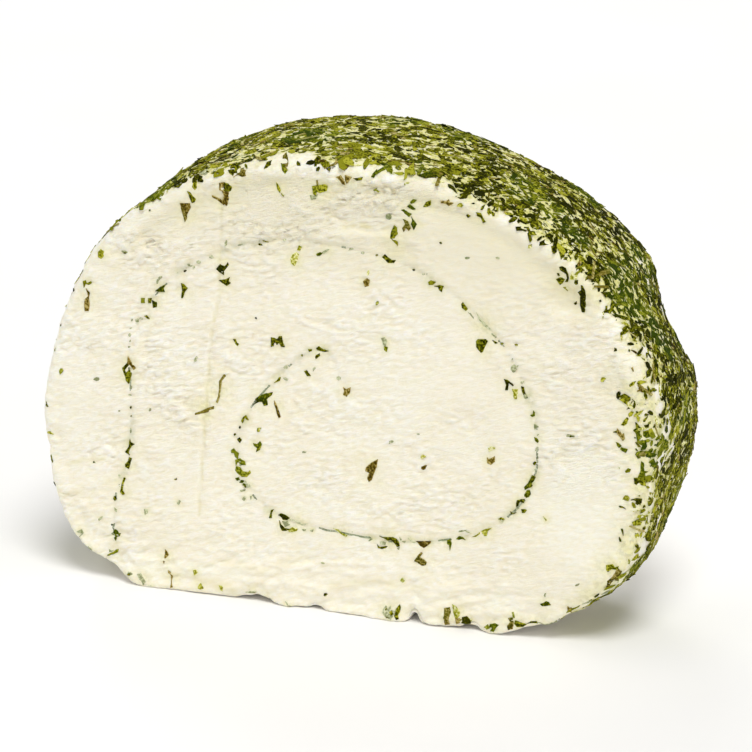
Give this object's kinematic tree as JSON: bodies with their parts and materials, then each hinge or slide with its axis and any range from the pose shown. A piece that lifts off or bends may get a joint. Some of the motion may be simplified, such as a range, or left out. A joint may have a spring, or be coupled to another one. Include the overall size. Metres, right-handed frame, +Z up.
{
  "type": "herbed cheese roll",
  "caption": "Thick cut piece of a soft white cheese roll with a flat underside, a swirl of herbs through it and a coat of chopped herbs outside.",
  "frame": {"origin": "bottom centre of the piece's bounding box, on the surface that it stands on", "axes": "+Z up; +X to the right seen from the front cut face, along the width; +Y along the roll's axis, from the front cut to the back cut"},
  "size_m": [0.0936, 0.0244, 0.0687],
  "materials": {
    "fresh_cheese": "matte, creamy, slightly moist",
    "chopped_herbs": "matte, dry chopped leaf"
  },
  "bodies": {
    "root": {"cheese_roll": "fresh_cheese", "herb_swirl": "chopped_herbs"}
  },
  "joints": []
}
